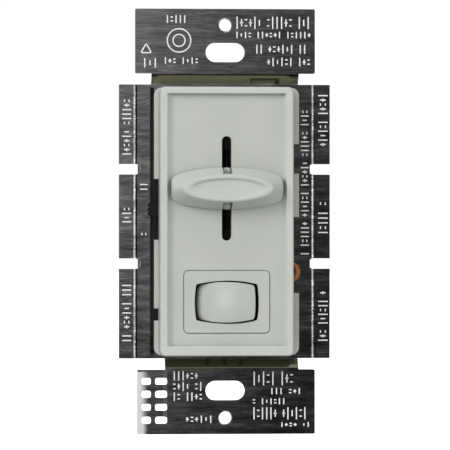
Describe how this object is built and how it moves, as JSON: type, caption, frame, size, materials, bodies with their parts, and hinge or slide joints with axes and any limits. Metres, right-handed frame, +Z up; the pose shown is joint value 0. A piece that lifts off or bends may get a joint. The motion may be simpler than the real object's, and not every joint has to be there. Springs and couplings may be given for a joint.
{
  "type": "dimmer slide switch",
  "caption": "Slide dimmer for a single wall box: metal yoke with snap-off fins, grey faceplate, sliding knob, side trim lever, rocker switch and deep rear housing.",
  "frame": {"origin": "midway between the two box screw slots, on the rear face of the yoke's ears, which is the wall's face", "axes": "+Z up, +X to the user's right, +Y into the wall; the user stands on the -Y side"},
  "size_m": [0.0522, 0.043, 0.1048],
  "materials": {
    "aluminium": "satin, brushed across",
    "black_case": "fine texture",
    "black_lever": "fine texture",
    "board": "solder mask",
    "brass": "rolled",
    "copper": "bright copper",
    "diac_glass": "small glass body",
    "epoxy": "moulded epoxy",
    "ferrite": "powder core, painted",
    "film_blue": "potted box",
    "film_yellow": "potted box",
    "grey_face": "low gloss moulded plastic",
    "grey_knob": "low gloss moulded plastic",
    "grey_rocker": "semi gloss moulded plastic",
    "insulator": "silicone sheet",
    "magnet_wire": "enamelled copper",
    "phenolic": "phenolic",
    "resistor": "lacquer",
    "silver": "silver contact",
    "spring_wire": "music wire",
    "steel": "zinc plated",
    "tin": "tinned",
    "track": "carbon film",
    "white_plastic": "acetal"
  },
  "bodies": {
    "dimmer": {"yoke": "aluminium", "faceplate": "grey_face", "front_cover": "black_case", "housing": "black_case", "corner_rivets": "steel", "triac_rivet": "copper", "triac_pad": "insulator", "triac_tab": "tin", "triac_case": "epoxy", "triac_leads": "tin", "circuit_board": "board", "board_screws": "steel", "slide_pot_body": "steel", "slide_pot_track": "track", "trim_pot_body": "phenolic", "trim_pot_track": "track", "fixed_contacts": "silver", "traveller_terminals": "brass", "common_terminal": "brass", "switch_base": "phenolic", "choke_core": "ferrite", "choke_winding": "magnet_wire", "filter_capacitor": "film_blue", "timing_capacitor": "film_yellow", "resistors": "resistor", "diac": "diac_glass", "lead_terminals": "tin"},
    "slider": {"slider_knob": "grey_knob", "slider_shuttle": "grey_knob", "slide_pot_carriage": "white_plastic", "slide_pot_wiper": "brass"},
    "trim": {"trim_lever": "black_lever", "trim_wiper": "brass"},
    "rocker": {"rocker": "grey_rocker", "plunger": "white_plastic", "plunger_spring": "spring_wire"},
    "blade": {"contact_blade": "brass", "blade_contacts": "silver"}
  },
  "joints": [
    {"name": "dimmer_slide", "type": "slide", "parent": "dimmer", "child": "slider", "axis": [0, 0, 1], "range_m": [-0.0075, 0.0075]},
    {"name": "trim_slide", "type": "slide", "parent": "dimmer", "child": "trim", "axis": [0, 0, 1], "range_m": [-0.0056, 0.0056]},
    {"name": "rocker_pivot", "type": "hinge", "parent": "dimmer", "child": "rocker", "pos_m": [0, -0.0041, -0.0198], "axis": [0, 0, 1], "range_deg": [0, 14]},
    {"name": "contact_pivot", "type": "hinge", "parent": "dimmer", "child": "blade", "pos_m": [0, 0.0066, -0.0198], "axis": [0, 0, 1], "range_deg": [-14, 0]}
  ],
  "couplings": [
    {"joint": "contact_pivot", "follows": "rocker_pivot", "ratio": -1}
  ]
}
